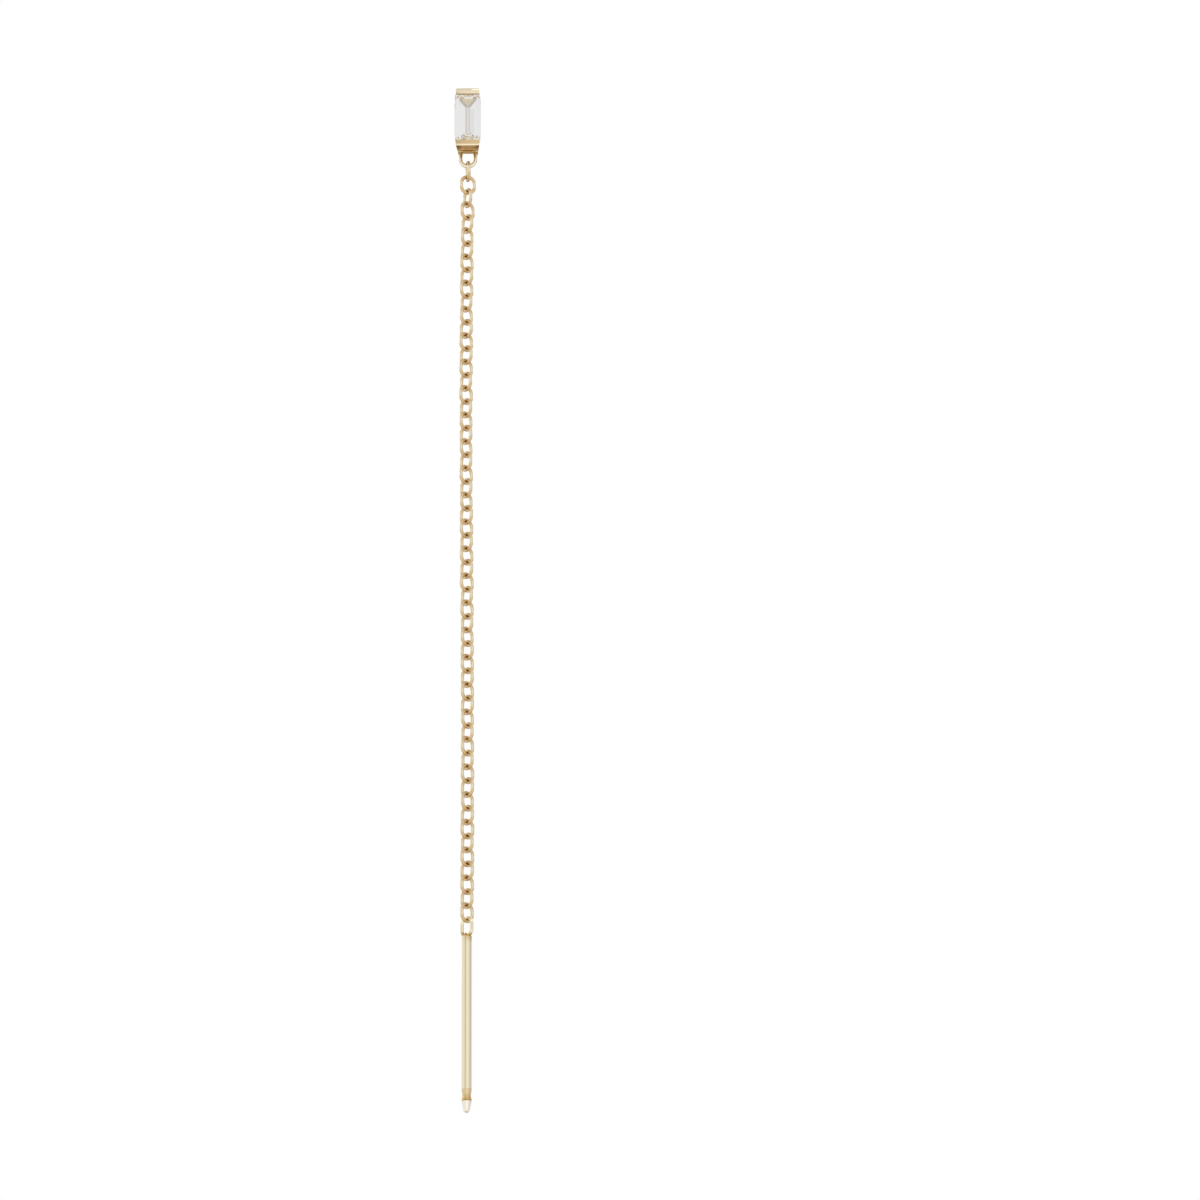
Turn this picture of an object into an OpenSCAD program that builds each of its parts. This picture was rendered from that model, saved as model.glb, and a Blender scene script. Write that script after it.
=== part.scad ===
// Threader earring: a baguette stone held at its two ends, a fine cable chain and a straight ear post.
// Millimetres, +Z up, the front faces -Y.
// The origin is the centre of the setting's back, which lies on the ear lobe.

/* [Stone] */
// Length of the baguette along the earring
stone_len = 4.0; // [3:0.1:6]
// Width of the baguette across its middle
stone_w = 2.04; // [1.9:0.01:2.6]
// How much each side draws in towards the two ends
stone_bow = 0.07; // [0.01:0.01:0.1]
// Length over which the two sides run straight
stone_straight = 2.4; // [1.5:0.1:2.6]
// Height of the crown, from the girdle to the table
crown_h = 0.24; // [0.15:0.01:0.35]
// Width of the crown facets round the table, seen from the front
crown_run = 0.30; // [0.2:0.01:0.45]
// Thickness of the girdle
girdle_h = 0.06; // [0.03:0.01:0.1]
// Height of the steep step of the pavilion under the girdle
step_h = 0.45; // [0.3:0.01:0.5]
// Width of that step, seen from the front
step_run = 0.35; // [0.25:0.01:0.45]
// Height of the whole pavilion, from the girdle to the keel
pavilion_h = 0.92; // [0.75:0.01:1]
// Length of the keel line
keel_len = 1.9; // [1.4:0.1:2.2]

/* [Setting] */
// Height of each end bar, seen from the front
bar_h = 0.48; // [0.4:0.01:0.7]
// How far each bar's lip reaches over the stone's end
lip_over = 0.155; // [0.06:0.005:0.19]
// How far the bars stand in front of the stone's table
bar_proud = 0.10; // [0.05:0.01:0.2]
// Depth of the setting, front to back
setting_d = 1.95; // [1.85:0.05:2.4]
// Width of the setting at its front
front_w = 1.81; // [1.7:0.01:2]
// Width of the setting at its back
back_w = 1.52; // [1.49:0.01:1.7]
// How far the ledge under the stone's end reaches inwards
ledge = 0.12; // [0.08:0.01:0.18]
// Depth of the front bar that is left solid above the end recess
bar_d = 0.42; // [0.35:0.01:0.6]
// Depth of the base rails, front to back
rail_d = 0.46; // [0.4:0.01:0.5]
// Width of the two long base rails
rail_w = 0.30; // [0.2:0.01:0.4]
// Width of the corner posts beside each end recess
corner_w = 0.30; // [0.2:0.01:0.4]
// Depth of the recess in each end wall
recess = 0.17; // [0.08:0.01:0.22]
// Cut along the four long outer corners
corner_cut = 0.06; // [0.02:0.01:0.1]
// Gap between the stone and the metal round it
seat_gap = 0.03; // [0.02:0.01:0.04]

/* [Bail] */
// Diameter of the bail's wire
bail_wire = 0.32; // [0.26:0.01:0.36]
// Radius of the bail's half ring, to its outer side
bail_r = 0.735; // [0.68:0.005:0.74]
// Length of the bail's two straight legs below the setting
bail_leg = 0.52; // [0.3:0.01:0.8]
// How far the bail's wire stays in front of the setting's back
hang_gap = 0.04; // [0.01:0.01:0.1]

/* [Chain] */
// Number of loose links
links = 56; // [8:1:56]
// Length that each link adds to the chain
link_pitch = 1.056; // [0.98:0.001:1.3]
// Inner length of the first link, which is a little longer
first_hole = 1.15; // [1.05:0.01:1.4]
// Diameter of the link wire
link_wire = 0.27; // [0.2:0.01:0.28]
// Outer width of a link
link_w = 1.31; // [1.2:0.01:1.4]
// Play between two links
link_gap = 0.10; // [0.1:0.01:0.2]
// Angle by which the links turn away from the front, to one side and the other
link_turn = 45; // [0:5:60]
// Number of links over which that turn comes in
turn_links = 4.5; // [1:0.5:10]

/* [Post] */
// Diameter of the ear post
post_d = 0.76; // [0.6:0.01:1]
// Radius of the rounded shoulder at the post's top
post_edge = 0.08; // [0.02:0.01:0.12]
// Length of the post above the friction groove
post_len = 11.45; // [6:0.05:20]
// Length of the friction groove
groove_len = 0.90; // [0.5:0.05:1.5]
// Depth of the friction groove
groove_cut = 0.06; // [0.02:0.01:0.1]
// Length of the tapered tip
tip_len = 0.85; // [0.5:0.05:1.5]
// Diameter of the tip where its round end starts
tip_d = 0.50; // [0.4:0.01:0.56]
// How deep the last ring sits in the top of the post
ring_sink = 0.15; // [0.1:0.01:0.2]

/* [Hidden] */

// Overlap of soldered pieces, and the excess of each cutter past what it cuts
bite = 0.06;
over = 0.5;
// Sides of a link and of its wire
LINK_SIDES = 16;
WIRE_SIDES = 6;
// Points of each rounded stretch of the post's outline
ROUND_STEPS = 8;
$fn = 48;

// Half the setting's height
half_h = stone_len / 2 - lip_over + bar_h;

// Depths of the stone's levels, where -Y is the front
table_y = -setting_d + bar_proud;
girdle_top_y = table_y + crown_h;
girdle_low_y = girdle_top_y + girdle_h;
step_y = girdle_low_y + step_h;
keel_y = girdle_low_y + pavilion_h;

// The lips and the ledges follow the stone's facets at the seat gap
wall_z = stone_len / 2 + seat_gap;
lip_z = stone_len / 2 - lip_over;
ledge_z = wall_z - ledge;
crown_slope = crown_h / crown_run;
step_slope = step_h / step_run;
crown_gap = seat_gap * sqrt(1 + crown_slope ^ 2);
step_gap = seat_gap * sqrt(1 + step_slope ^ 2);
function lip_y(z) = girdle_top_y - crown_slope * (stone_len / 2 - z) - crown_gap;
function ledge_y(z) = girdle_low_y + step_slope * (stone_len / 2 - z) + step_gap;

// Half the setting's width at a depth
function half_w(y) = back_w / 2 + (front_w - back_w) / 2 * (-y / setting_d);

// The bail, the chain and the post hang in one line below the back of the setting
hang_y = -bail_wire / 2 - hang_gap;
bail_mid_r = bail_r - bail_wire / 2;
bail_mid_z = -half_h - bail_leg;
bail_floor_z = bail_mid_z - bail_r + bail_wire;

// Places of the links, each held by the one above
first_z = bail_floor_z - first_hole / 2;
second_z = bail_floor_z - first_hole - link_pitch / 2;
function link_z(n) = n == 1 ? first_z : second_z - (n - 2) * link_pitch;
function link_hole(n) = (n == 1 ? first_hole : link_pitch) + link_gap;
function link_angle(n) = link_turn * min(1, n / turn_links) - (n % 2 == 1 ? 90 : 0);
link_mid_r = (link_w - link_wire) / 2;

// The last ring is one link more, soldered into the post's top
ring = links + 1;
post_top_z = link_z(ring) - link_hole(ring) / 2 - link_wire + ring_sink;

// An outline drawn in by a distance, with its edges kept parallel
function edge_normal(p, q) = [q.y - p.y, p.x - q.x] / norm(q - p);
function drawn_in(outline, d) = [
    for (i = [0 : len(outline) - 1])
        let (
            n = len(outline),
            before = edge_normal(outline[(i + n - 1) % n], outline[i]),
            after = edge_normal(outline[i], outline[(i + 1) % n])
        )
        outline[i] - d * (before + after) / (1 + before * after)
];

// The girdle's outline in X and Z, anticlockwise from its lower left corner
end_x = stone_w / 2 - stone_bow;
side_x = stone_w / 2;
end_z = stone_len / 2;
side_z = stone_straight / 2;
girdle = [
    [-end_x, -end_z], [end_x, -end_z], [side_x, -side_z], [side_x, side_z],
    [end_x, end_z], [-end_x, end_z], [-side_x, side_z], [-side_x, -side_z]
];

// One level of the stone: an outline at a depth
function level(outline, y) = [for (p = outline) [p.x, y, p.y]];
// Side faces between two levels that follow each other in the list of points
function belt(k, n) = [
    for (i = [0 : n - 1]) [k * n + i, (k + 1) * n + i, (k + 1) * n + (i + 1) % n, k * n + (i + 1) % n]
];

module baguette() {
    n = len(girdle);
    levels = [
        level(drawn_in(girdle, crown_run), table_y),
        level(girdle, girdle_top_y),
        level(girdle, girdle_low_y),
        level(drawn_in(girdle, step_run), step_y)
    ];
    keel = [[0, keel_y, -keel_len / 2], [0, keel_y, keel_len / 2]];
    points = [for (l = levels) each l, each keel];
    s = 3 * n;
    low = 4 * n;
    high = low + 1;
    keel_faces = [
        [s, low, s + 1], [s + 1, low, s + 2], [s + 2, low, high, s + 3], [s + 3, high, s + 4],
        [s + 4, high, s + 5], [s + 5, high, s + 6], [s + 6, high, low, s + 7], [s + 7, low, s]
    ];
    table_face = [for (i = [0 : n - 1]) i];
    color("aliceblue")
        polyhedron(points, [table_face, each belt(0, n), each belt(1, n), each belt(2, n), each keel_faces]);
}

// Outline of the setting in Y and Z: two end walls with lip and ledge, joined by the base
module setting_profile() {
    inside = [
        [-setting_d, lip_z], [lip_y(lip_z), lip_z], [lip_y(wall_z), wall_z],
        [ledge_y(wall_z), wall_z], [ledge_y(ledge_z), ledge_z], [-rail_d, ledge_z]
    ];
    below = [for (i = [len(inside) - 1 : -1 : 0]) [inside[i].x, -inside[i].y]];
    outer = [[-setting_d, -half_h], [0, -half_h], [0, half_h], [-setting_d, half_h]];
    polygon([each inside, each below, each outer]);
}

// Plan of the setting, wider at the front, drawn in by a distance
module setting_plan(y0, y1, in) {
    polygon([[-half_w(y0) + in, y0], [half_w(y0) - in, y0], [half_w(y1) - in, y1], [-half_w(y1) + in, y1]]);
}

// Front outline of the setting with its corners cut
module setting_front() {
    x = front_w / 2 + over;
    cut = corner_cut + over;
    polygon([
        [-x, -half_h + cut], [-x + cut, -half_h], [x - cut, -half_h], [x, -half_h + cut],
        [x, half_h - cut], [x - cut, half_h], [-x + cut, half_h], [-x, half_h - cut]
    ]);
}

module bail() {
    translate([0, hang_y, bail_mid_z]) {
        rotate([90, 0, 0])
            rotate_extrude(angle = -180)
                translate([bail_mid_r, 0])
                    circle(d = bail_wire);
        for (side = [-1, 1])
            translate([side * bail_mid_r, 0, 0])
                cylinder(d = bail_wire, h = bail_leg + bite);
    }
}

module setting() {
    color("goldenrod")
        union() {
            difference() {
                intersection() {
                    translate([-front_w / 2 - over, 0, 0])
                        rotate([90, 0, 90])
                            linear_extrude(front_w + 2 * over)
                                setting_profile();
                    translate([0, 0, -half_h - over])
                        linear_extrude(2 * (half_h + over))
                            setting_plan(-setting_d, 0, 0);
                    translate([0, over, 0])
                        rotate([90, 0, 0])
                            linear_extrude(setting_d + 2 * over)
                                setting_front();
                }
                translate([0, 0, -ledge_z])
                    linear_extrude(2 * ledge_z)
                        setting_plan(-rail_d - over, over, rail_w);
                for (side = [0, 1])
                    mirror([0, 0, side])
                        translate([0, 0, half_h - recess])
                            linear_extrude(recess + over)
                                setting_plan(-setting_d + bar_d, -rail_d, corner_w);
            }
            bail();
        }
}

// Points of one closed wire link round the origin, in the XZ plane
function link_points(hole) = [
    for (i = [0 : LINK_SIDES - 1])
        let (
            a = i * 360 / LINK_SIDES,
            straight = (hole + link_wire) / 2 - link_mid_r,
            x = link_mid_r * cos(a),
            z = link_mid_r * sin(a) + (abs(sin(a)) < 0.01 ? 0 : sign(sin(a)) * straight)
        )
        for (j = [0 : WIRE_SIDES - 1])
            let (b = (j + 0.5) * 360 / WIRE_SIDES, r = link_wire / 2)
            [x + r * cos(b) * cos(a), r * sin(b), z + r * cos(b) * sin(a)]
];
function link_corner(i, j) = (i % LINK_SIDES) * WIRE_SIDES + j % WIRE_SIDES;
link_faces = [
    for (i = [0 : LINK_SIDES - 1])
        for (j = [0 : WIRE_SIDES - 1])
            each [
                [link_corner(i, j), link_corner(i + 1, j), link_corner(i + 1, j + 1)],
                [link_corner(i, j), link_corner(i + 1, j + 1), link_corner(i, j + 1)]
            ]
];

module chain() {
    color("darkgoldenrod")
        for (n = [1 : links])
            translate([0, hang_y, link_z(n)])
                rotate([0, 0, link_angle(n)])
                    polyhedron(link_points(link_hole(n)), link_faces);
}

// The round ring at the post's top has the size of a link
module post_ring() {
    straight = (link_hole(ring) + link_wire) / 2 - link_mid_r;
    for (end = [0, 1])
        mirror([0, 0, end])
            translate([0, 0, straight])
                rotate([90, 0, 0])
                    rotate_extrude(angle = 180)
                        translate([link_mid_r, 0])
                            circle(d = link_wire);
    for (side = [-1, 1])
        translate([side * link_mid_r, 0, -straight])
            cylinder(d = link_wire, h = 2 * straight);
}

// Half outline of the post from its top down: plain shank, waisted groove, tapered tip with a round end
module post_profile() {
    r = post_d / 2;
    groove_z = -post_len;
    tip_z = groove_z - groove_len;
    end_r = tip_d / 2;
    round_z = tip_z - tip_len + end_r;
    shoulder = [
        for (k = [0 : ROUND_STEPS])
            let (a = 90 * k / ROUND_STEPS)
            [r - post_edge * (1 - sin(a)), -post_edge * (1 - cos(a))]
    ];
    groove = [
        for (k = [0 : ROUND_STEPS])
            [r - groove_cut / 2 * (1 - cos(360 * k / ROUND_STEPS)), groove_z - groove_len * k / ROUND_STEPS]
    ];
    tip = [
        for (k = [0 : ROUND_STEPS])
            let (a = 90 * k / ROUND_STEPS)
            [end_r * cos(a), round_z - end_r * sin(a)]
    ];
    polygon([[0, 0], each shoulder, each groove, each tip]);
}

module threader_post() {
    color("gold")
        union() {
            translate([0, hang_y, post_top_z])
                rotate_extrude()
                    post_profile();
            translate([0, hang_y, link_z(ring)])
                rotate([0, 0, link_angle(ring)])
                    post_ring();
        }
}

setting();
baguette();
chain();
threader_post();
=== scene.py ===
"""Looks of a threader earring: a step-cut stone in a two-bar setting, a fine cable chain and an ear post.

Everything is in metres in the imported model's frame: +Z is up, the front faces -Y, and the origin is the
centre of the setting's back. Sizes are written in millimetres and turned to metres when a mesh is made.
"""

import logging
import math
from collections.abc import Mapping, Sequence
from dataclasses import dataclass, field
from enum import Enum

import bmesh
import bpy
import numpy as np
from mathutils import Matrix, Vector
from numpy.typing import NDArray


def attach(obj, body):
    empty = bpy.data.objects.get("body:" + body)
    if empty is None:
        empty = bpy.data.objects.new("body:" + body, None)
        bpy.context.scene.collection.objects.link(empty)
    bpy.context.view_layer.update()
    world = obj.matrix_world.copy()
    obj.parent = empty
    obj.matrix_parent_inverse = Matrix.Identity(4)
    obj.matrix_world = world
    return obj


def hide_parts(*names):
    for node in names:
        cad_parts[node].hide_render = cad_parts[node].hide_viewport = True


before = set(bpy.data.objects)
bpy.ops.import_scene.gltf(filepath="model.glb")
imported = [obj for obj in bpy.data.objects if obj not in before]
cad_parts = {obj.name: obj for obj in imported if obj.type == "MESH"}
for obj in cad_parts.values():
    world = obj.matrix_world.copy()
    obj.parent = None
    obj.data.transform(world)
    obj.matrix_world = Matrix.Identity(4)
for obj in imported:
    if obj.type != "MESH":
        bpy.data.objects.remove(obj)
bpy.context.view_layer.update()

log = logging.getLogger("threader_earring")

Array = NDArray[np.float64]
Faces = NDArray[np.int64]
Rgba = tuple[float, float, float, float]
Mesh, Object, Material = bpy.types.Mesh, bpy.types.Object, bpy.types.Material
Tree, Node, Socket = bpy.types.NodeTree, bpy.types.Node, bpy.types.NodeSocket
Shell, Edge, Point = bmesh.types.BMesh, bmesh.types.BMEdge, bmesh.types.BMVert

MM = 0.001
# Points closer than this are one point
MERGE_MM = 0.0002
# A point closer than this to a plane lies on it
NEAR_MM = 0.001
# Faces are picked by their place with this slack
PICK_MM = 0.01
# A bevel's profile that is a part of a circle
ROUND_PROFILE = 0.5
# The two axes between which a turn about Z and a tilt about X go
SPIN, TILT = (0, 1), (1, 2)
# A Mix node's colour sockets, by number: its two inputs and its output
MIX_A, MIX_B, MIX_OUT = 6, 7, 2


class Body(Enum):
    """The two bodies that pieces ride on."""

    HANGER = "hanger"
    POST = "post"


class Slot(Enum):
    """The record's material slots."""

    POLISHED_GOLD = "polished_gold"
    CHAIN_GOLD = "chain_gold"
    POST_GOLD = "post_gold"
    CLEAR_STONE = "clear_stone"


# Small helpers for colours and nodes


def linear(hex_colour: str) -> Rgba:
    """Turn an sRGB hex colour into linear RGBA.

    By the sRGB standard a value v becomes v / 12.92 up to 0.04045, and ((v + 0.055) / 1.055) ^ 2.4 above it.

    Args:
        hex_colour: The colour as "#rrggbb".

    Returns:
        The four linear values, with an alpha of 1.
    """
    srgb = np.array([int(hex_colour[i : i + 2], 16) for i in (1, 3, 5)]) / 255
    rgb = np.where(srgb <= 0.04045, srgb / 12.92, ((srgb + 0.055) / 1.055) ** 2.4)
    return (float(rgb[0]), float(rgb[1]), float(rgb[2]), 1.0)


def add_node(
    tree: Tree,
    kind: str,
    settings: Mapping[str | int, object] | None = None,
    links: Mapping[str | int, Socket] | None = None,
) -> Node:
    """Add a node with its settings and links.

    Args:
        tree: The node tree that gets the node.
        kind: The node's type name, without "ShaderNode".
        settings: Values of the node's own properties, then of its inputs, by name or number.
        links: Output sockets that feed its inputs, by name or number.

    Returns:
        The new node.
    """
    node = tree.nodes.new("ShaderNode" + kind)
    for name, value in (settings or {}).items():
        if isinstance(name, str) and hasattr(node, name):
            setattr(node, name, value)
        else:
            node.inputs[name].default_value = value
    for name, socket in (links or {}).items():
        tree.links.new(socket, node.inputs[name])
    return node


def new_material(name: str) -> tuple[Material, Tree, Socket]:
    """Make an empty node material.

    Args:
        name: The material's name.

    Returns:
        The material, its node tree and the socket that takes its surface.
    """
    material = bpy.data.materials.new(name)
    material.use_nodes = True
    tree = material.node_tree
    tree.nodes.clear()
    return material, tree, add_node(tree, "OutputMaterial").inputs["Surface"]


# Small helpers for surfaces and meshes


def quads(rows: int, columns: int, wrap_rows: bool = False) -> Faces:
    """Number the faces of a grid whose columns close on themselves.

    Face (i, j) joins points (i, j), (i + 1, j), (i + 1, j + 1) and (i, j + 1), where j + 1 wraps round.

    Args:
        rows: Rows of points.
        columns: Points in each row.
        wrap_rows: True if the last row joins the first.

    Returns:
        The corner numbers, one face a row.
    """
    faces_along = rows if wrap_rows else rows - 1
    i, j = np.meshgrid(np.arange(faces_along), np.arange(columns), indexing="ij")
    below, beside = (i + 1) % rows, (j + 1) % columns
    corners = (i * columns + j, below * columns + j, below * columns + beside, i * columns + beside)
    return np.stack(corners, -1).reshape(-1, 4)


def fan(centre: int, start: int, columns: int) -> Faces:
    """Number the triangles that close a row of points, counted from its start, to a centre point."""
    j = np.arange(columns)
    return np.stack([np.full(columns, centre), start + j, start + (j + 1) % columns], -1)


def make_mesh(name: str, points: Array, *faces: Faces) -> Mesh:
    """Put points and faces into a mesh, with its normals outward and its shading smooth.

    Args:
        name: The mesh's name.
        points: The points in millimetres, one a row.
        *faces: Corner numbers, one face a row, with quads and triangles apart.

    Returns:
        The mesh, in metres.
    """
    mesh = bpy.data.meshes.new(name)
    mesh.from_pydata((points * MM).tolist(), [], [face for part in faces for face in part.tolist()])
    shell = bmesh.new()
    shell.from_mesh(mesh)
    bmesh.ops.recalc_face_normals(shell, faces=shell.faces)
    shell.to_mesh(mesh)
    shell.free()
    mesh.shade_smooth()
    return mesh


def capped_rows(name: str, rows: Array) -> Mesh:
    """Make a closed mesh of a stack of rings, with a fan of triangles over each end.

    Args:
        name: The mesh's name.
        rows: Points (row, column, 3) in millimetres.

    Returns:
        The mesh.
    """
    count, columns, _ = rows.shape
    points = np.concatenate([rows.reshape(-1, 3), rows[[0, -1]].mean(1)])
    last = count * columns
    caps = (fan(last, 0, columns), fan(last + 1, last - columns, columns))
    return make_mesh(name, points, quads(count, columns), *caps)


def tube_rows(centres: Array, outward: Array, radius: Array | float, sides: int) -> Array:
    """Carry a round profile along a flat path in the XZ plane.

    A point is centre + radius (cos b outward + sin b Y), where b goes once round the wire.

    Args:
        centres: Points (row, 3) of the path.
        outward: Unit vectors (row, 3) in the path's plane, square to the path.
        radius: Radius of the wire, one value or one a row.
        sides: Points round the wire.

    Returns:
        Points (row, side, 3).
    """
    b = np.arange(sides) * 2 * np.pi / sides
    across = np.array([0.0, 1.0, 0.0])
    ring = np.cos(b)[None, :, None] * outward[:, None, :] + np.sin(b)[None, :, None] * across
    thickness = np.broadcast_to(np.asarray(radius, float), len(centres))
    return centres[:, None, :] + thickness[:, None, None] * ring


def stadium(bend_r: float, straight: float, count: int) -> tuple[Array, Array]:
    """Walk in even steps round a stadium in the XZ plane: two half circles joined by two straight sides.

    Args:
        bend_r: Radius of the two half circles.
        straight: Half the length of each straight side.
        count: Number of points.

    Returns:
        The points (count, 3) and the unit vectors that point outward from them.
    """
    arc, side = np.pi * bend_r, 2 * straight
    walked = np.arange(count) * 2 * (arc + side) / count
    half = walked % (arc + side)
    angle = np.where(half < arc, half / bend_r, np.pi)
    x = bend_r * np.cos(angle)
    z = bend_r * np.sin(angle) + straight - np.maximum(half - arc, 0)
    turn = np.where(walked < arc + side, 1.0, -1.0)
    nothing = np.zeros(count)
    centres = np.stack([turn * x, nothing, turn * z], -1)
    outward = np.stack([turn * np.cos(angle), nothing, turn * np.sin(angle)], -1)
    return centres, outward


def turned(points: Array, angle: Array | float, plane: tuple[int, int]) -> Array:
    """Turn points in the plane of two axes u and v: u' = u cos a - v sin a, v' = u sin a + v cos a.

    Args:
        points: Points (..., 3).
        angle: The angle a in radians, one value or one that fits the points' rows.
        plane: The numbers of the axes u and v.

    Returns:
        The turned points.
    """
    u, v = points[..., plane[0]], points[..., plane[1]]
    result = points.copy()
    result[..., plane[0]] = np.cos(angle) * u - np.sin(angle) * v
    result[..., plane[1]] = np.sin(angle) * u + np.cos(angle) * v
    return result


def stand(name: str, data: bpy.types.ID) -> Object:
    """Put a new object into the scene.

    Args:
        name: The object's name.
        data: Its mesh, light or camera.

    Returns:
        The object.
    """
    thing = bpy.data.objects.new(name, data)
    bpy.context.scene.collection.objects.link(thing)
    return thing


def fused(name: str, parts: Sequence[Mesh], sharp_deg: float = 35.0) -> Mesh:
    """Unite closed meshes that overlap into one solid skin, with no faces left inside.

    Args:
        name: The new mesh's name.
        parts: The closed meshes, in metres.
        sharp_deg: Edges that turn by more than this stay sharp.

    Returns:
        The united mesh.
    """
    base, *others = [stand(f"{name}_{i}", part) for i, part in enumerate(parts)]
    for other in others:
        union = base.modifiers.new("union", "BOOLEAN")
        union.operation = "UNION"
        union.solver = "MANIFOLD"
        union.object = other
    bpy.context.view_layer.update()
    done = bpy.data.meshes.new_from_object(base.evaluated_get(bpy.context.evaluated_depsgraph_get()))
    done.name = name
    for piece in (base, *others):
        bpy.data.objects.remove(piece)
    done.shade_smooth()
    done.set_sharp_from_angle(angle=math.radians(sharp_deg))
    return done


def merged_copy(node: str) -> Shell:
    """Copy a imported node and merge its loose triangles' points.

    Args:
        node: The node's name.

    Returns:
        The shell, which the caller finishes.
    """
    shell = bmesh.new()
    shell.from_mesh(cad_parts[node].data)
    bmesh.ops.remove_doubles(shell, verts=shell.verts, dist=MERGE_MM * MM)
    return shell


def join_flat(shell: Shell, flat_deg: float) -> None:
    """Join neighbour faces of a shell that turn by less than an angle."""
    flat = math.radians(flat_deg)
    bmesh.ops.dissolve_limit(shell, angle_limit=flat, verts=shell.verts, edges=shell.edges)


def cut_back(shell: Shell, edges: list[Edge], size_mm: float, flats: int, **how: object) -> None:
    """Cut edges of a shell back to flats along a part of a circle, that reach this far or are this wide."""
    size, circle = size_mm * MM, ROUND_PROFILE
    bmesh.ops.bevel(shell, geom=edges, offset=size, segments=flats, profile=circle, affect="EDGES", **how)


def is_at(point: Point, y_mm: float) -> bool:
    """Tell if a point lies at this depth, in millimetres along Y."""
    return abs(point.co.y - y_mm * MM) < NEAR_MM * MM


def finished_mesh(name: str, shell: Shell) -> Mesh:
    """Put a shell into a new mesh and free the shell.

    Args:
        name: The mesh's name.
        shell: The shell.

    Returns:
        The mesh.
    """
    mesh = bpy.data.meshes.new(name)
    shell.to_mesh(mesh)
    shell.free()
    return mesh


def read_rows(items: bpy.types.bpy_prop_collection, name: str, width: int, kind: type = float) -> NDArray:
    """Read a value of each of a mesh's points, faces or corners.

    Args:
        items: The points, faces or corners.
        name: The value's name.
        width: How many numbers it has.
        kind: The numbers' type.

    Returns:
        The values: flat for single numbers, and otherwise one a row.
    """
    values = np.zeros(len(items) * width, kind)
    items.foreach_get(name, values)
    return values.reshape(-1, width) if width > 1 else values


def points_mm(mesh: Mesh) -> Array:
    """Read a mesh's points (point, 3) in millimetres."""
    return read_rows(mesh.vertices, "co", 3) / MM


def set_attribute(mesh: Mesh, name: str, domain: str, values: Array) -> None:
    """Give a number to each of a mesh's points, faces or corners, as the domain says."""
    mesh.attributes.new(name, "FLOAT", domain).data.foreach_set("value", values.astype(np.float32))


def place_piece(mesh: Mesh, material: Material, body: Body, replaces: str) -> Object:
    """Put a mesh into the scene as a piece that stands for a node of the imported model.

    Args:
        mesh: The finished mesh, in its place.
        material: The finish that it wears.
        body: The body that it rides on.
        replaces: The node that it stands for.

    Returns:
        The piece.
    """
    piece = stand(mesh.name, mesh)
    mesh.materials.clear()
    mesh.materials.append(material)
    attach(piece, body.value)
    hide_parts(replaces)
    return piece


# Finishes


class Tone(Enum):
    """Places on a gold finish's scale of tones, from pale to brown gold, with which the pieces paint
    highlight and shade.
    """

    PALE = 0.0
    POLISHED = 0.25
    TAN = 0.6
    BROWN = 1.0


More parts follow.
